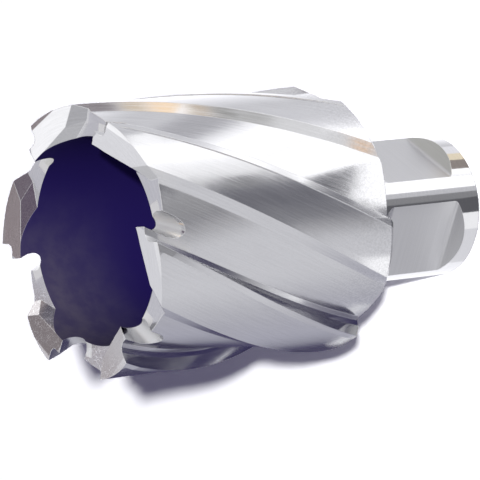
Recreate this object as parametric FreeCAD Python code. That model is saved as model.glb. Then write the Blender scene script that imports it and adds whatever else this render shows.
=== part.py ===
"""Annular cutter: a one-piece steel hole cutter with six helical teeth.

It stands on the end of its shank with the open mouth up. The axis is Z, the shank end is
at Z = 0, and tooth number 0 has its outer leading corner on the +X side of the mouth.
Sizes are in millimetres and angles in degrees. Seen from the mouth the cutter turns
anticlockwise, so each tooth leads toward growing angles.
"""
import FreeCAD, Part
import math
import os

# Overall sizes
overall_length = 60.0
shank_length = 21.0
shank_diameter = 19.05
shank_end_chamfer = 0.5
body_diameter = 36.0
shoulder_chamfer = 1.4
bore_diameter = 27.2
bore_depth = 31.0
pilot_diameter = 6.35

# Two drive flats on the shank, side by side a quarter turn apart
flat_distance = 7.83
flat_directions = (60.0, -30.0)
flat_start = 4.1
flat_length = 10.8
flat_end_wall_angle = 50.0
flat_foot_radius = 0.8
flat_runout_radius = 1.9

# Teeth and helical flutes
tooth_count = 6
helix_angle = 27.0
land_width_angle = 25.2
margin_width_angle = 3.0
land_relief = 0.15
flute_corner_radius = 15.4
flute_corner_angle = 0.6
flute_corner_easing = 0.9
flute_middle_radius = 15.95
flute_middle_angle = 17.0
heel_foot_radius = 16.8
heel_foot_angle = 30.4

# End faces of the teeth: radius, angle ahead of the outer corner, depth below the tips
outer_corner_depth = 0.03
heel_angle = -25.0
heel_depth = 1.30
inner_tip_radius = 13.58
inner_tip_angle = 8.0
inner_tip_depth = 0.08
ridge_end_radius = 15.85
ridge_end_angle = -26.0
bevel_rim_angle = -19.0
bevel_rim_depth = 2.85
outer_bevel_width = 0.95
outer_bevel_drop = 0.2
outer_bevel_end_angle = -18.0
corner_facet_width = 0.25
corner_facet_length = 3.0
corner_facet_end_angle = -9.5

# Drop behind each tooth to the floor of the gap before the next tooth
gap_depth = 2.9
drop_inner_angle = -22.0
drop_outer_angle = -27.5
drop_slope_angle = 40.0
gap_end_angle = 11.0

# Ball-nosed gullet ahead of each tooth, running out and down from the bore
gullet_radius = 1.45
gullet_bore_point = (13.6, 14.0, 0.6)
gullet_flute_point = (15.9, 6.1, 3.84)

# Room left round the cutting shapes so that they pass right through the metal
clearance = 2.0

shank_radius = shank_diameter / 2
body_radius = body_diameter / 2
bore_radius = bore_diameter / 2
tooth_step = 360.0 / tooth_count
helix_pitch = math.pi * body_diameter / math.tan(math.radians(helix_angle))
twist_per_mm = 360.0 / helix_pitch
axis = FreeCAD.Vector(0, 0, 1)
origin = FreeCAD.Vector(0, 0, 0)


def polar(radius, angle, height=0.0):
    """Point at a radius, an angle round the axis and a height."""
    turn = math.radians(angle)
    return FreeCAD.Vector(radius * math.cos(turn), radius * math.sin(turn), height)


def tooth_point(radius, angle, depth):
    """Point given by its depth below the tips, for the tooth that leads at angle 0."""
    return polar(radius, angle, overall_length - depth)


def height_on_plane(corners, radius, angle):
    """Height at which the plane through three points passes a radius and an angle."""
    first, second, third = corners
    normal = (second - first).cross(third - first)
    place = polar(radius, angle)
    along = normal.x * (place.x - first.x) + normal.y * (place.y - first.y)
    return first.z - along / normal.z


def depth_on_plane(corners, radius, angle):
    """Depth below the tips of the plane through three points."""
    return overall_length - height_on_plane(corners, radius, angle)


def block_off_plane(corners):
    """Block that stands on the plane through three points, on the side away from the metal."""
    first, second, third = corners
    normal = (second - first).cross(third - first)
    metal = tooth_point(flute_corner_radius, drop_outer_angle / 2, gap_depth + body_radius)
    if (metal - first).dot(normal) > 0:
        normal = -normal
    size = 4 * body_radius
    block = Part.makeBox(size, size, size, FreeCAD.Vector(-size / 2, -size / 2, 0))
    block.Placement = FreeCAD.Placement(first, FreeCAD.Rotation(axis, normal))
    return block


def sector(start_angle, end_angle, bottom_depth):
    """Upright pie slice between two angles, from a depth to above the tips."""
    reach = 2 * body_radius
    height = overall_length - bottom_depth
    start = polar(reach, start_angle, height)
    middle = polar(reach, (start_angle + end_angle) / 2, height)
    end = polar(reach, end_angle, height)
    centre = FreeCAD.Vector(0, 0, height)
    outline = Part.Wire([
        Part.makeLine(centre, start),
        Part.Arc(start, middle, end).toShape(),
        Part.makeLine(end, centre),
    ])
    return Part.Face(outline).extrude(axis * (bottom_depth + clearance))


def blank():
    """Turned blank: shank, shoulder, body, bore and pilot hole."""
    pilot_radius = pilot_diameter / 2
    bore_floor = overall_length - bore_depth
    outline = [
        (pilot_radius, 0),
        (shank_radius - shank_end_chamfer, 0),
        (shank_radius, shank_end_chamfer),
        (shank_radius, shank_length),
        (body_radius - shoulder_chamfer, shank_length),
        (body_radius, shank_length + shoulder_chamfer),
        (body_radius, overall_length),
        (bore_radius, overall_length),
        (bore_radius, bore_floor),
        (pilot_radius, bore_floor),
        (pilot_radius, 0),
    ]
    points = [FreeCAD.Vector(radius, 0, height) for radius, height in outline]
    return Part.Face(Part.makePolygon(points)).revolve(origin, axis, 360)


def drive_flat(direction):
    """Cutting shape of one drive flat, facing along a direction round the axis."""
    reach = shank_radius + clearance
    flat_end = flat_start + flat_length
    runout_centre = flat_distance + flat_runout_radius
    slant = (reach - flat_distance) / math.tan(math.radians(flat_end_wall_angle))
    half_turn = flat_runout_radius * math.sin(math.radians(45))
    foot = FreeCAD.Vector(flat_distance, -reach, flat_start)
    runout_start = FreeCAD.Vector(flat_distance, -reach, flat_end)
    runout_middle = FreeCAD.Vector(runout_centre - half_turn, -reach, flat_end + half_turn)
    runout_end = FreeCAD.Vector(runout_centre, -reach, flat_end + flat_runout_radius)
    outer_end = FreeCAD.Vector(reach + flat_runout_radius, -reach, runout_end.z)
    outer_start = FreeCAD.Vector(reach + flat_runout_radius, -reach, flat_start - slant)
    wall_top = FreeCAD.Vector(reach, -reach, flat_start - slant)
    outline = Part.Wire([
        Part.makeLine(foot, runout_start),
        Part.Arc(runout_start, runout_middle, runout_end).toShape(),
        Part.makeLine(runout_end, outer_end),
        Part.makeLine(outer_end, outer_start),
        Part.makeLine(outer_start, wall_top),
        Part.makeLine(wall_top, foot),
    ])
    tool = Part.Face(outline).extrude(FreeCAD.Vector(0, 2 * reach, 0))
    foot_edges = [
        edge for edge in tool.Edges
        if all(abs(end.Point.x - foot.x) + abs(end.Point.z - foot.z) < 0.001 for end in edge.Vertexes)
    ]
    tool = tool.makeFillet(flat_foot_radius, foot_edges)
    tool.rotate(origin, axis, direction)
    return tool


def flute_outline():
    """Closed outline of one flute and of the relieved land that follows it."""
    reach = body_radius + clearance
    land_radius = body_radius - land_relief
    heel_top_angle = tooth_step - land_width_angle
    margin_angle = tooth_step - margin_width_angle
    corner = polar(flute_corner_radius, flute_corner_angle)
    wall_top = polar(reach, 0)
    floor_middle = polar(flute_middle_radius, flute_middle_angle)
    along_wall = (wall_top - corner).normalize()
    along_floor = (floor_middle - corner).normalize()
    easing_top = corner + along_wall * flute_corner_easing
    easing_end = corner + along_floor * flute_corner_easing
    bulge = flute_corner_easing * (1 - math.sqrt(0.5))
    easing_middle = corner + (along_wall + along_floor) * bulge
    heel_foot = polar(heel_foot_radius, heel_foot_angle)
    heel_top = polar(land_radius, heel_top_angle)
    land_middle = polar(land_radius, (heel_top_angle + margin_angle) / 2)
    margin_foot = polar(land_radius, margin_angle)
    margin_top = polar(reach, margin_angle)
    outer_middle = polar(reach, margin_angle / 2)
    return Part.Wire([
        Part.makeLine(wall_top, easing_top),
        Part.makeLine(easing_top, easing_middle),
        Part.makeLine(easing_middle, easing_end),
        Part.Arc(easing_end, floor_middle, heel_foot).toShape(),
        Part.makeLine(heel_foot, heel_top),
        Part.Arc(heel_top, land_middle, margin_foot).toShape(),
        Part.makeLine(margin_foot, margin_top),
        Part.Arc(margin_top, outer_middle, wall_top).toShape(),
    ])


def flute():
    """Cutting shape of one flute: its outline swept up the axis while it turns."""
    length = overall_length - shank_length + 2 * clearance
    start = shank_length - clearance
    spine = Part.Wire([Part.makeLine(origin, axis * length)])
    guide = Part.makeHelix(helix_pitch, length, body_radius)
    sweep = Part.BRepOffsetAPI.MakePipeShell(spine)
    sweep.setAuxiliarySpine(Part.Wire(guide.Edges), True, 0)
    sweep.add(flute_outline())
    sweep.build()
    sweep.makeSolid()
    tool = sweep.shape()
    tool.translate(axis * start)
    tool.rotate(origin, axis, twist_per_mm * (start - overall_length))
    return tool


def end_faces():
    """Cutting shapes of the facets ground on the end of the tooth that leads at angle 0."""
    primary = (
        tooth_point(body_radius, 0, outer_corner_depth),
        tooth_point(body_radius, heel_angle, heel_depth),
        tooth_point(inner_tip_radius, inner_tip_angle, inner_tip_depth),
    )
    ridge_end_depth = depth_on_plane(primary, ridge_end_radius, ridge_end_angle)
    inner_bevel = (
        tooth_point(inner_tip_radius, inner_tip_angle, inner_tip_depth),
        tooth_point(ridge_end_radius, ridge_end_angle, ridge_end_depth),
        tooth_point(bore_radius, bevel_rim_angle, bevel_rim_depth),
    )
    bevel_radius = body_radius - outer_bevel_width
    outer_bevel = (
        tooth_point(bevel_radius, 0, depth_on_plane(primary, bevel_radius, 0)),
        tooth_point(
            body_radius,
            outer_bevel_end_angle,
            depth_on_plane(primary, body_radius, outer_bevel_end_angle),
        ),
        tooth_point(body_radius, 0, outer_corner_depth + outer_bevel_drop),
    )
    corner_facet = (
        tooth_point(body_radius - corner_facet_width, 0, outer_corner_depth),
        tooth_point(
            body_radius,
            corner_facet_end_angle,
            depth_on_plane(primary, body_radius, corner_facet_end_angle),
        ),
        tooth_point(body_radius, -twist_per_mm * corner_facet_length, corner_facet_length),
    )
    tooth = sector(gap_end_angle - tooth_step, gap_end_angle, gap_depth)
    end_shapes = [block_off_plane(facet).common(tooth) for facet in (primary, inner_bevel, outer_bevel)]
    corner_sector = sector(corner_facet_end_angle * 2, gap_end_angle, corner_facet_length * 2)
    end_shapes.append(block_off_plane(corner_facet).common(corner_sector))

    drop_inner = tooth_point(
        flute_corner_radius,
        drop_inner_angle,
        depth_on_plane(primary, flute_corner_radius, drop_inner_angle),
    )
    drop_outer = tooth_point(
        body_radius,
        drop_outer_angle,
        depth_on_plane(primary, body_radius, drop_outer_angle),
    )
    along_drop = (drop_inner - drop_outer).normalize()
    backward = axis.cross(along_drop).normalize()
    if backward.dot(polar(1, -tooth_step)) < 0:
        backward = -backward
    slope = math.radians(drop_slope_angle)
    down_drop = backward * math.cos(slope) - axis * math.sin(slope)
    drop = (drop_outer, drop_inner, drop_outer + down_drop)
    behind = sector(gap_end_angle - tooth_step, drop_inner_angle / 2, gap_depth)
    end_shapes.append(block_off_plane(drop).common(behind))
    return end_shapes


def gullet():
    """Cutting shape of the ball-nosed gullet ahead of the tooth that leads at angle 0."""
    inner = tooth_point(*gullet_bore_point)
    outer = tooth_point(*gullet_flute_point)
    along = (outer - inner).normalize()
    middle_turn = math.radians((gullet_bore_point[1] + gullet_flute_point[1]) / 2)
    lean = math.tan(math.radians(helix_angle))
    opening = FreeCAD.Vector(-lean * math.sin(middle_turn), lean * math.cos(middle_turn), 1)
    side = along.cross(opening).normalize()
    up = side.cross(along).normalize()
    start = inner - along * 2 * clearance
    left = start + side * gullet_radius
    right = start - side * gullet_radius
    bottom = start - up * gullet_radius
    rise = up * gap_depth * 3
    outline = Part.Wire([
        Part.Arc(left, bottom, right).toShape(),
        Part.makeLine(right, right + rise),
        Part.makeLine(right + rise, left + rise),
        Part.makeLine(left + rise, left),
    ])
    return Part.Face(outline).extrude(along * ((outer - inner).Length + 4 * clearance))


def turned(shape, angle):
    """Copy of a shape turned round the axis."""
    copy = shape.copy()
    copy.rotate(origin, axis, angle)
    return copy


def cutter():
    """The whole cutter as one solid."""
    steps = [tooth_step * number for number in range(tooth_count)]
    shape = blank()
    shape = shape.cut([drive_flat(direction) for direction in flat_directions])
    one_flute = flute()
    shape = shape.cut([turned(one_flute, step) for step in steps])
    for tool in end_faces() + [gullet()]:
        shape = shape.cut([turned(tool, step) for step in steps])
    return shape.Solids[0]


os.makedirs("parts", exist_ok=True)
cutter().exportStep("parts/cutter.step")
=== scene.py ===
"""Looks, light and camera of the annular cutter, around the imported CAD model."""
import math
from types import SimpleNamespace

import bpy
from mathutils import Matrix, Vector

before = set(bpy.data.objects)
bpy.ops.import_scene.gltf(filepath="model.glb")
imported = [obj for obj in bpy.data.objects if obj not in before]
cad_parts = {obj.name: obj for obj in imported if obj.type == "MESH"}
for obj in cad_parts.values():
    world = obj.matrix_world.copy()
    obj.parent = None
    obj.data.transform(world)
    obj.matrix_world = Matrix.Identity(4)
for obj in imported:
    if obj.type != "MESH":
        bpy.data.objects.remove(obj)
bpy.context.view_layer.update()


def rgb(red, green, blue):
    return (red, green, blue, 1.0)


def grey(level, violet=0.03):
    """Grey whose blue is a little stronger."""
    return (level, level, level * (1 + violet), 1.0)


def direction(azimuth, elevation):
    turn, rise = math.radians(azimuth), math.radians(elevation)
    return (math.cos(turn) * math.cos(rise), math.sin(turn) * math.cos(rise), math.sin(rise))


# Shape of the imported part, in millimetres and degrees, which the material follows
LENGTH = 60.0
SHANK_LENGTH = 21.0
SHANK_RADIUS = 9.525
SHANK_CHAMFER = 0.5
BODY_RADIUS = 18.0
LAND_RADIUS = 17.85
BORE_RADIUS = 13.6
BORE_FLOOR = 29.0
PILOT_RADIUS = 3.175
TEETH_HEIGHT = 54.0
TWIST = 1.627
TOOTH_STEP = 60.0
FLUTE_END = 34.8
MARGIN_START = 57.0

# Where the gullets' rough finish ends, how far the relief leans the shading of the lands back,
# and the azimuth of the tooth ends that are darker and speckled
GULLET_START, GULLET_END = 4.0, 24.0
GULLET_RADIUS = 15.5
GULLET_TOP = 58.0
LAND_LEAN = -6.0
DARK_TEETH_AZIMUTH = -115.0

# Colours of the cutter, and the share of the steel's colour that the drive flats keep, a painted
# shade
STEEL = (0.62, 0.62, 0.64)
DARK_TEETH_STEEL = rgb(0.42, 0.385, 0.395)
GULLET_STEEL = rgb(0.71, 0.71, 0.72)
# Lighter steel of the painted highlights on the edges, and of the scratches
EDGE_HIGHLIGHT_AND_SCRATCH_STEEL = rgb(0.80, 0.80, 0.82)
# Painted shade of the cup: dark navy for the shade inside it, and a paler colour, painted
# reflected light, near the mouth on one side
BORE_PAINTED_SHADE = rgb(0.0132, 0.0079, 0.073)
BORE_PAINTED_LIGHT = rgb(0.076, 0.066, 0.108)
FLAT_PAINTED_SHADE = 0.86

# Camera that matches the photograph: position in metres and the directions of its axes
CAMERA_PLACE = Vector((0.454026, 0.024101, 0.366592))
CAMERA_RIGHT = Vector((0.59217, -0.07423, -0.80238))
CAMERA_UP = Vector((0.00685, 0.99618, -0.08710))
CAMERA_LENS = 318.79
SENSOR_WIDTH = 36.0

# Sun lamp, and a weak narrow lamp on the line from the mouth to the camera
LAMP_TOWARD = Vector((1.300, 0.188, 1.0))
LAMP_POWER = 3.14
LAMP_ANGLE = 1.7
FILL_POWER = 2.05
FILL_ANGLE = 4.6
FILL_DISTANCE = 0.4
MOUTH = Vector((0, 0, 0.055))

# White background, which the metal mirrors wherever no part of the studio stands
BACKGROUND = rgb(1.0, 1.0, 1.0)
# What lights the floor and the bore besides the lamps
PLAIN = rgb(0.0544, 0.0495, 0.0876)
# The slanting lamp gives the floor 0.6 of plain light, so the camera is shown a colour that ends
# white there, with a small glow, while other rays meet plain pale paint
FLOOR_COLOUR = rgb(0.93, 0.93, 0.94)
FLOOR_SEEN = rgb(1.54, 1.54, 1.56)
FLOOR_GLOW = 0.01
FLOOR_HALF = 3.0
FLOOR_DROP = 0.00002

# What the metal mirrors from below the horizon, by azimuth in degrees
LOW_BAND = (
    (-180, rgb(0.03, 0.022, 0.09)),
    (-150, rgb(0.07, 0.06, 0.14)),
    (-140, grey(0.36, 0.20)),
    (-124, grey(0.56, 0.15)),
    (-100, grey(0.62, 0.10)),
    (-84, grey(0.72, 0.06)),
    (-60, grey(0.93)),
    (-28, grey(0.86)),
    (-16, grey(0.55)),
    (-6, grey(0.26, 0.12)),
    (10, grey(0.22, 0.14)),
    (21, grey(0.28, 0.12)),
    (28, grey(0.50)),
    (36, grey(1.05, 0.0)),
    (46, grey(1.40, 0.0)),
    (58, grey(1.9, 0.0)),
    (69, grey(1.8, 0.0)),
    (78, grey(1.15)),
    (100, grey(0.95)),
    (114, grey(0.86)),
    (128, grey(1.15)),
    (142, grey(1.5)),
    (180, grey(1.6)),
)
# Soft patches of the studio: azimuth, elevation, half width in degrees, colour
PATCHES = (
    (-88, -72, 24, rgb(0.05, 0.042, 0.12)),
    (26, -66, 16, rgb(0.05, 0.042, 0.12)),
    (-178, 30, 25, grey(1.0)),
    (-34, 60, 14, grey(0.36)),
    (-48, 44, 13, grey(0.80)),
    (-20, 45, 11, grey(0.66)),
    (-124, 2, 16, grey(0.62)),
    (43, 17, 8, grey(0.46)),
    (-75, 30, 26, grey(0.62)),
    (-56, 59, 9, grey(0.62)),
    (-55, -2, 30, grey(0.88)),
    (10, -3, 18, grey(1.08, 0.0)),
    (88, -25, 9, grey(0.60, 0.05)),
    (0, -25, 8, grey(0.40)),
    (16, -27, 7, grey(0.20, 0.10)),
    (39, -24, 9, grey(1.9, 0.0)),
    (180, 56, 14, grey(1.5, 0.0)),
    (170, 37, 9, rgb(0.36, 0.30, 0.31)),
    (175, 17, 9, rgb(0.36, 0.31, 0.32)),
    (176, 24, 7, rgb(0.42, 0.39, 0.40)),
    (-177, 34, 4, grey(0.76, 0.08)),
    (156, 1, 9, grey(1.6, 0.0)),
    (120, 3, 10, rgb(0.60, 0.53, 0.52)),
    (101, 21, 8, grey(0.10, 0.5)),
    (110, 33, 16, rgb(0.70, 0.70, 0.62)),
    (89, 48, 10, rgb(0.21, 0.17, 0.21)),
    (20, 28, 12, rgb(0.17, 0.13, 0.18)),
    (3, 41, 6, grey(0.75, 0.0)),
    (-70, 48, 12, grey(0.62)),
    (-174, -51, 5, grey(0.70)),
    (110, -68, 15, grey(0.42)),
    (86, -9, 7, rgb(0.33, 0.29, 0.31)),
    (73, -7, 4, rgb(0.95, 0.74, 0.46)),
    (62, -6, 6, rgb(1.60, 1.17, 0.72)),
    (50, -5, 4, rgb(0.75, 0.58, 0.38)),
    (41, -4, 5, rgb(0.38, 0.38, 0.36)),
    (30, -3, 6, rgb(0.66, 0.66, 0.64)),
    (-10, -4, 4, rgb(1.30, 0.85, 0.50)),
)
# Cards that stand round the cutter and only the metal mirrors: radius, middle and half width in
# degrees round the axis, foot, top at the card's start and top at its end in millimetres, colour
CARDS = (
    (30, 18, 11, 10.0, 17.8, 17.8, grey(1.8, 0.0)),
    (30, 2.5, 4.5, 9.0, 13.2, 17.2, grey(1.8, 0.0)),
    (30, -38, 8, 10.0, 16.3, 16.3, grey(1.6, 0.0)),
    (30, 60, 5, 44.5, 50.0, 50.0, grey(1.6, 0.0)),
    (22, -86, 15, 14.5, 17.3, 17.3, grey(1.0)),
    (30, 33, 8, 17.0, 27.0, 27.0, grey(1.9, 0.0)),
    (30, 13, 11, -20.0, 6.0, 6.0, grey(0.10)),
    (30, 24, 4, 34.0, 39.0, 39.0, grey(0.38)),
    (13, 25, 6, -6.0, 18.5, 18.5, grey(1.9, 0.0)),
    (13, 16.5, 2.7, -6.0, 18.5, 18.5, grey(0.80)),
    (13, 11, 3, -6.0, 18.5, 18.5, grey(0.36)),
    (13, 0, 8, -6.0, 18.5, 18.5, grey(0.16, 0.08)),
    (13, -17, 9, -6.0, 2.0, 2.0, grey(1.35, 0.0)),
    (13, -50, 24, -6.0, 2.0, 2.0, grey(1.05)),
    (13, -112, 38, -6.0, 18.5, 18.5, grey(1.35)),
    (13, 69, 7, -6.0, 2.0, 2.0, grey(1.2)),
    (13, 57, 5, -6.0, 2.0, 2.0, rgb(1.20, 1.06, 0.80)),
    (13, 46, 6, -6.0, 2.0, 2.0, rgb(0.42, 0.37, 0.34)),
)
CARD_STEPS = 8


class Tree:
    """Short calls that add nodes to one node tree."""

    def __init__(self, tree):
        self.tree = tree
        tree.nodes.clear()

    def plug(self, value, socket):
        if isinstance(value, bpy.types.NodeSocket):
            self.tree.links.new(value, socket)
        elif value is not None:
            socket.default_value = value

    def node(self, kind, *inputs, **settings):
        made = self.tree.nodes.new("ShaderNode" + kind)
        for name, value in settings.items():
            setattr(made, name, value)
        for number, value in enumerate(inputs):
            self.plug(value, made.inputs[number])
        return made

    def math(self, operation, *inputs):
        return self.node("Math", *inputs, operation=operation).outputs[0]

    def vector(self, operation, *inputs):
        made = self.node("VectorMath", *inputs, operation=operation)
        return made.outputs["Value" if operation in ("DOT_PRODUCT", "LENGTH") else "Vector"]

    def scaled(self, vector, scale):
        made = self.node("VectorMath", vector, operation="SCALE")
        self.plug(scale, made.inputs["Scale"])
        return made.outputs["Vector"]

    def ramp(self, value, low, high, start=0.0, end=1.0):
        """Smooth step of a value from low to high, onto start to end."""
        made = self.node("MapRange", value, low, high, start, end, interpolation_type="SMOOTHSTEP")
        return made.outputs[0]

    def mix(self, share, first, second):
        """Colour between two others."""
        made = self.tree.nodes.new("ShaderNodeMix")
        made.data_type = "RGBA"
        self.plug(share, made.inputs[0])
        self.plug(first, made.inputs[6])
        self.plug(second, made.inputs[7])
        return made.outputs[2]

    def blend(self, share, first, second):
        """Number between two others."""
        made = self.tree.nodes.new("ShaderNodeMix")
        self.plug(share, made.inputs[0])
        self.plug(first, made.inputs[2])
        self.plug(second, made.inputs[3])
        return made.outputs[0]

    def between(self, share, first, second):
        """Vector between two others."""
        made = self.tree.nodes.new("ShaderNodeMix")
        made.data_type = "VECTOR"
        self.plug(share, made.inputs[0])
        self.plug(first, made.inputs[4])
        self.plug(second, made.inputs[5])
        return made.outputs[1]

    def shaders(self, share, first, second):
        """Shader between two others."""
        return self.node("MixShader", share, first.outputs[0], second.outputs[0])

    def noise(self, vector, scale, detail=2.0, roughness=0.5):
        made = self.node("TexNoise", vector)
        made.inputs["Scale"].default_value = scale
        made.inputs["Detail"].default_value = detail
        made.inputs["Roughness"].default_value = roughness
        return made.outputs[0]

    def combine(self, x, y, z):
        return self.node("CombineXYZ", x, y, z).outputs[0]

    def all_of(self, *masks):
        product = masks[0]
        for mask in masks[1:]:
            product = self.math("MULTIPLY", product, mask)
        return product

    def other(self, mask):
        return self.math("SUBTRACT", 1.0, mask)

    def above(self, value, limit, soft=0.02):
        return self.ramp(value, limit - soft, limit + soft)

    def below(self, value, limit, soft=0.02):
        return self.ramp(value, limit - soft, limit + soft, 1.0, 0.0)


def studio_light(t):
    """Colour that the metal mirrors, by direction: white background, band and soft patches."""
    way = t.node("TexCoord").outputs["Generated"]
    x, y, z = t.node("SeparateXYZ", way).outputs
    turn = t.math("ARCTAN2", y, x)
    band = t.node("ValToRGB", t.math("MULTIPLY_ADD", turn, 0.5 / math.pi, 0.5))
    stops = band.color_ramp.elements
    while len(stops) < len(LOW_BAND):
        stops.new(0.5)
    for stop, (azimuth, colour) in zip(stops, LOW_BAND):
        stop.position = azimuth / 360 + 0.5
        stop.color = colour
    low = t.mix(t.ramp(z, -0.90, -0.78), BACKGROUND, band.outputs[0])
    light = t.mix(t.ramp(z, -0.34, -0.06), low, BACKGROUND)
    for azimuth, elevation, width, colour in PATCHES:
        near = t.vector("DOT_PRODUCT", way, direction(azimuth, elevation))
        inner = math.cos(math.radians(width * 0.7))
        outer = math.cos(math.radians(width * 1.3))
        light = t.mix(t.ramp(near, outer, inner), light, colour)
    return light


def build_world():
    """White to the camera, the studio to mirror rays, and a weak plain light to the rest."""
    world = bpy.data.worlds.new("studio")
    bpy.context.scene.world = world
    world.use_nodes = True
    t = Tree(world.node_tree)
    plain = t.node("Background", PLAIN, 1.0)
    mirrored = t.node("Background", studio_light(t), 1.0)
    seen = t.node("Background", BACKGROUND, 1.0)
    path = t.node("LightPath").outputs
    sharp = t.math("MAXIMUM", path["Is Glossy Ray"], path["Is Transmission Ray"])
    lit = t.shaders(sharp, plain, mirrored)
    t.node("OutputWorld", t.shaders(path["Is Camera Ray"], lit, seen).outputs[0])


def floor_paint():
    """Pale paint that keeps the shadow and lets mirror rays through to the studio."""
    material = bpy.data.materials.new("floor")
    material.use_nodes = True
    t = Tree(material.node_tree)
    path = t.node("LightPath").outputs
    seen = path["Is Camera Ray"]
    paint = t.node("BsdfDiffuse", t.mix(seen, FLOOR_COLOUR, FLOOR_SEEN))
    clear = t.node("BsdfTransparent")
    glow = t.node("Emission", rgb(1.0, 1.0, 1.0), t.math("MULTIPLY", seen, FLOOR_GLOW))
    paint = t.node("AddShader", paint.outputs[0], glow.outputs[0])
    sharp = t.math("MAXIMUM", path["Is Glossy Ray"], path["Is Transmission Ray"])
    t.node("OutputMaterial", t.shaders(sharp, paint, clear).outputs[0])
    return material


def build_floor():
    """Pale floor just under the shank's end."""
    half = FLOOR_HALF
    mesh = bpy.data.meshes.new("floor")
    corners = [(-half, -half, 0), (half, -half, 0), (half, half, 0), (-half, half, 0)]
    mesh.from_pydata(corners, [], [(0, 1, 2, 3)])
    mesh.materials.append(floor_paint())
    floor = bpy.data.objects.new("floor", mesh)
    bpy.context.scene.collection.objects.link(floor)
    floor.location.z = -FLOOR_DROP


def card_glow(name, colour):
    """Plain glow of one card."""
    material = bpy.data.materials.new(name)
    material.use_nodes = True
    t = Tree(material.node_tree)
    t.node("OutputMaterial", t.node("Emission", colour, 1.0).outputs[0])
    return material


def card_mesh(radius, middle, half, foot, top_start, top_end):
    """Strip of a cylinder round the axis, whose top edge may slope."""
    points = []
    for step in range(CARD_STEPS + 1):
        along = step / CARD_STEPS
        turn = math.radians(middle + half * (2 * along - 1))
        x, y = radius * math.cos(turn), radius * math.sin(turn)
        top = top_start + (top_end - top_start) * along
        points += [Vector((x, y, foot)) / 1000, Vector((x, y, top)) / 1000]
    strip = range(0, 2 * CARD_STEPS, 2)
    mesh = bpy.data.meshes.new("card")
    mesh.from_pydata(points, [], [(i, i + 2, i + 3, i + 1) for i in strip])
    return mesh


def build_cards():
    """Small cards round the cutter that only the metal mirrors."""
    for number, (*measures, colour) in enumerate(CARDS):
        name = "card_%d" % number
        mesh = card_mesh(*measures)
        mesh.materials.append(card_glow(name, colour))
        card = bpy.data.objects.new(name, mesh)
        card.visible_camera = False
        card.visible_diffuse = False
        card.visible_transmission = False
        card.visible_shadow = False
        bpy.context.scene.collection.objects.link(card)


def find_zones(t, geometry):
    """Coordinates in millimetres and degrees, and masks of where each part of the cutter is."""
    place = t.scaled(geometry.outputs["Position"], 1000.0)
    x, y, z = t.node("SeparateXYZ", place).outputs
    face_z = t.node("SeparateXYZ", geometry.outputs["True Normal"]).outputs[2]
    radius = t.vector("LENGTH", t.combine(x, y, 0.0))
    turn = t.math("MULTIPLY", t.math("ARCTAN2", y, x), 180 / math.pi)
    twisted = t.math("MULTIPLY", t.math("SUBTRACT", z, LENGTH), TWIST)
    unwound = t.math("SUBTRACT", turn, twisted)
    tooth_turn = t.math("FLOORED_MODULO", unwound, TOOTH_STEP)

    inner = t.math(
        "MAXIMUM",
        t.all_of(t.below(radius, BORE_RADIUS + 0.05), t.above(z, BORE_FLOOR - 0.1)),
        t.below(radius, PILOT_RADIUS + 0.1),
    )
    shank = t.all_of(t.below(z, SHANK_LENGTH - 0.02), t.other(inner))
    flat = t.all_of(
        shank, t.below(radius, SHANK_RADIUS - 0.03), t.above(z, SHANK_CHAMFER + 0.2)
    )
    tooth_end = t.all_of(t.above(z, TEETH_HEIGHT), t.above(face_z, 0.4), t.other(inner))
    gullet = t.all_of(
        t.above(z, TEETH_HEIGHT - 1.0, 0.5),
        t.below(z, GULLET_TOP, 0.3),
        t.below(radius, GULLET_RADIUS, 0.1),
        t.above(tooth_turn, GULLET_START, 1.0),
        t.below(tooth_turn, GULLET_END, 1.0),
    )
    land = t.all_of(
        t.above(radius, LAND_RADIUS - 0.04),
        t.above(tooth_turn, FLUTE_END, 0.3),
        t.below(tooth_turn, MARGIN_START, 0.2),
        t.above(z, SHANK_LENGTH + 1.2),
        t.other(tooth_end),
    )
    # Darker, speckled tooth ends on one side, and the sandy rear end of the body
    side = t.vector("DOT_PRODUCT", place, direction(DARK_TEETH_AZIMUTH, 0))
    dark_teeth = t.all_of(tooth_end, t.ramp(side, 8.0, 14.0))
    rear = t.all_of(t.ramp(z, 33.0, 22.0), t.other(shank), t.other(inner))
    return SimpleNamespace(
        place=place, x=x, y=y, z=z, radius=radius, turn=turn, unwound=unwound,
        inner=inner, shank=shank, flat=flat, tooth_end=tooth_end, gullet=gullet, land=land,
        dark_teeth=dark_teeth, rear=rear,
    )


def grinding_lines(t, zone):
    """Long noise along the helix, round the shank, and fine on the tooth ends."""
    arc = t.math("MULTIPLY", zone.unwound, BODY_RADIUS * math.pi / 180)
    across, along = t.math("MULTIPLY", arc, 5.0), t.math("MULTIPLY", zone.z, 0.16)
    helix_lines = t.combine(across, along, zone.radius)
    across, along = t.math("MULTIPLY", zone.z, 7.0), t.math("MULTIPLY", zone.turn, 0.01)
    round_lines = t.combine(across, along, 0.0)
    across, along = t.math("MULTIPLY", zone.radius, 6.0), t.math("MULTIPLY", zone.turn, 0.06)
    end_lines = t.combine(across, along, 0.0)
    lines_place = t.between(zone.shank, helix_lines, round_lines)
    lines_place = t.between(zone.tooth_end, lines_place, end_lines)
    return t.noise(lines_place, 1.0, 3.0, 0.6)


def grinding_way(t, zone):
    """Direction of the grinding lines."""
    lean = math.radians(TWIST)
    sideways, onward = t.math("MULTIPLY", zone.y, -lean), t.math("MULTIPLY", zone.x, lean)
    helix_way = t.combine(sideways, onward, 1.0)
    round_way = t.combine(t.math("MULTIPLY", zone.y, -1.0), zone.x, 0.0)
    round_part = t.math("MAXIMUM", zone.shank, zone.tooth_end)
    return t.vector("NORMALIZE", t.between(round_part, helix_way, round_way))


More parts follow.
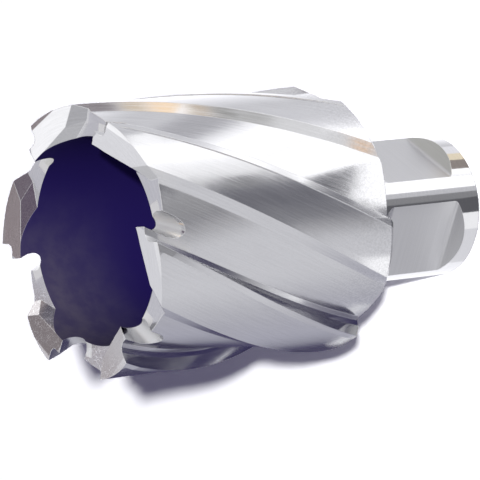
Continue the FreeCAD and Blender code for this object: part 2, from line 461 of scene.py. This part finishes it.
def scratches(t, zone):
    """Thin scratches on the darker tooth ends of one side."""
    stretched = t.combine(t.math("MULTIPLY", zone.x, 0.5), zone.y, t.math("MULTIPLY", zone.z, 0.3))
    ridge = t.math("SUBTRACT", t.noise(stretched, 0.9, 3.0, 0.6), 0.5)
    return t.all_of(zone.dark_teeth, t.ramp(t.math("ABSOLUTE", ridge), 0.014, 0.0))


def surface(t, zone, geometry, lines, grain, scratch):
    """Shading normal, with the lands leaning back for their relief, and a mask of the edges that
    get a painted highlight.
    """
    rounded = t.node("Bevel", 0.00012, samples=4).outputs[0]
    facing = t.vector("DOT_PRODUCT", rounded, geometry.outputs["True Normal"])
    # painted highlight: this mask lightens the steel along the edges
    edge = t.ramp(facing, 0.995, 0.85)
    turned = t.node("VectorRotate", rotation_type="Z_AXIS")
    t.plug(rounded, turned.inputs["Vector"])
    t.plug(t.math("MULTIPLY", zone.land, math.radians(LAND_LEAN)), turned.inputs["Angle"])
    bump = t.node("Bump")
    bump.inputs["Distance"].default_value = 0.00002
    sandy = t.math("MAXIMUM", zone.dark_teeth, zone.rear)
    strength = t.blend(zone.shank, t.blend(zone.tooth_end, 0.14, 0.06), 0.05)
    t.plug(t.blend(sandy, strength, 0.12), bump.inputs["Strength"])
    t.plug(t.blend(sandy, lines, t.math("ADD", grain, scratch)), bump.inputs["Height"])
    t.plug(turned.outputs[0], bump.inputs["Normal"])
    return bump.outputs[0], edge


def metal_colour(t, zone, lines, grain, edge_highlight_and_scratch):
    """Ground steel with grinding lines, darker speckled tooth ends on one side, rough gullets,
    painted shade on the drive flats, and painted highlights on the edges, with lighter scratches.
    """
    streaks = t.ramp(lines, 0.3, 0.7, 0.96, 1.02)
    tone_and_painted_shade = t.math("ADD", streaks, t.ramp(grain, 0.3, 0.7, -0.02, 0.02))
    speckle = t.ramp(t.noise(zone.place, 3.5, 2.0, 0.7), 0.40, 0.60, -0.06, 0.045)
    tone_and_painted_shade = t.math("MULTIPLY_ADD", zone.rear, speckle, tone_and_painted_shade)
    # painted shade: the drive flats' steel is darkened, so they look dimmer than lands that mirror
    # the same way
    tone_and_painted_shade = t.math("MULTIPLY", tone_and_painted_shade, t.blend(zone.flat, 1.0, FLAT_PAINTED_SHADE))
    metal = t.scaled(STEEL, tone_and_painted_shade)
    dark_speckle = t.all_of(zone.dark_teeth, t.ramp(grain, 0.35, 0.65, 0.4, 1.0))
    metal = t.mix(dark_speckle, metal, DARK_TEETH_STEEL)
    metal = t.mix(zone.gullet, metal, GULLET_STEEL)
    # painted highlights on the edges, and the scratches, in lighter steel
    return t.mix(edge_highlight_and_scratch, metal, EDGE_HIGHLIGHT_AND_SCRATCH_STEEL)


def bore_colour(t, zone):
    """Painted shade of the cup: dark navy, painted paler in clouds near the mouth on one side as
    painted reflected light.
    """
    cloud = t.ramp(t.noise(zone.place, 0.35, 3.0, 0.6), 0.3, 0.7, 0.6, 1.0)
    # painted reflected light: the cup's painted shade is paler in clouds near the mouth on one
    # side
    mouth_side = t.all_of(t.ramp(zone.y, 9.0, -9.0), t.ramp(zone.z, 41.0, 58.0), cloud)
    return t.mix(mouth_side, BORE_PAINTED_SHADE, BORE_PAINTED_LIGHT)


def surface_roughness(t, zone, lines, grain):
    body, shank = t.ramp(lines, 0.3, 0.7, 0.16, 0.22), t.ramp(lines, 0.3, 0.7, 0.07, 0.11)
    roughness = t.blend(zone.shank, body, shank)
    roughness = t.blend(zone.flat, roughness, t.ramp(grain, 0.3, 0.7, 0.34, 0.42))
    roughness = t.blend(zone.tooth_end, roughness, t.ramp(grain, 0.3, 0.7, 0.12, 0.18))
    roughness = t.blend(zone.gullet, roughness, 0.42)
    return t.blend(zone.inner, roughness, 0.6)


def steel():
    """Ground steel whose grinding lines follow each part of the cutter, with a dark bore in
    painted shade.
    """
    material = bpy.data.materials.new("ground_steel")
    material.use_nodes = True
    t = Tree(material.node_tree)
    geometry = t.node("NewGeometry")
    zone = find_zones(t, geometry)
    lines = grinding_lines(t, zone)
    grain = t.noise(zone.place, 5.0, 3.0, 0.7)
    scratch = scratches(t, zone)
    normal, edge = surface(t, zone, geometry, lines, grain, scratch)
    metal = metal_colour(t, zone, lines, grain, t.math("MAXIMUM", edge, scratch))

    shader = t.node("BsdfPrincipled")
    t.plug(t.mix(zone.inner, metal, bore_colour(t, zone)), shader.inputs["Base Color"])
    t.plug(t.other(zone.inner), shader.inputs["Metallic"])
    t.plug(surface_roughness(t, zone, lines, grain), shader.inputs["Roughness"])
    t.plug(normal, shader.inputs["Normal"])
    t.plug(grinding_way(t, zone), shader.inputs["Tangent"])
    shader.inputs["Anisotropic"].default_value = 0.5
    shader.inputs["Specular IOR Level"].default_value = 0.15
    t.node("OutputMaterial", shader.outputs[0])
    return material


def build_camera():
    data = bpy.data.cameras.new("camera")
    data.lens = CAMERA_LENS
    data.sensor_width = SENSOR_WIDTH
    data.clip_start = 0.05
    data.clip_end = 20.0
    camera = bpy.data.objects.new("camera", data)
    bpy.context.scene.collection.objects.link(camera)
    right, up = CAMERA_RIGHT.normalized(), CAMERA_UP.normalized()
    axes = Matrix((right, up, right.cross(up))).transposed()
    camera.matrix_world = Matrix.Translation(CAMERA_PLACE) @ axes.to_4x4()
    bpy.context.scene.camera = camera


def place_lamp(data, toward):
    """Lamp that shines from the given direction and isn't seen in the metal."""
    lamp = bpy.data.objects.new(data.name, data)
    lamp.rotation_mode = "QUATERNION"
    lamp.rotation_quaternion = toward.to_track_quat("Z", "Y")
    lamp.visible_glossy = False
    bpy.context.scene.collection.objects.link(lamp)
    return lamp


def build_lamp():
    """Lamp from beside the camera, which throws the soft shadow and lights the bore."""
    data = bpy.data.lights.new("lamp", "SUN")
    data.angle = math.radians(LAMP_ANGLE)
    data.energy = LAMP_POWER
    place_lamp(data, LAMP_TOWARD)


def build_fill():
    """Weak narrow lamp from the camera's side, which reaches into the cup."""
    data = bpy.data.lights.new("fill", "SPOT")
    data.energy = FILL_POWER
    data.spot_size = math.radians(FILL_ANGLE)
    data.spot_blend = 0.3
    data.shadow_soft_size = 0.004
    toward = (CAMERA_PLACE - MOUTH).normalized()
    place_lamp(data, toward).location = MOUTH + FILL_DISTANCE * toward


build_world()
build_floor()
build_cards()
build_camera()
build_lamp()
build_fill()
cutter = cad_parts["cutter"]
cutter.data.materials[0] = steel()
bpy.context.scene.view_settings.view_transform = "Standard"
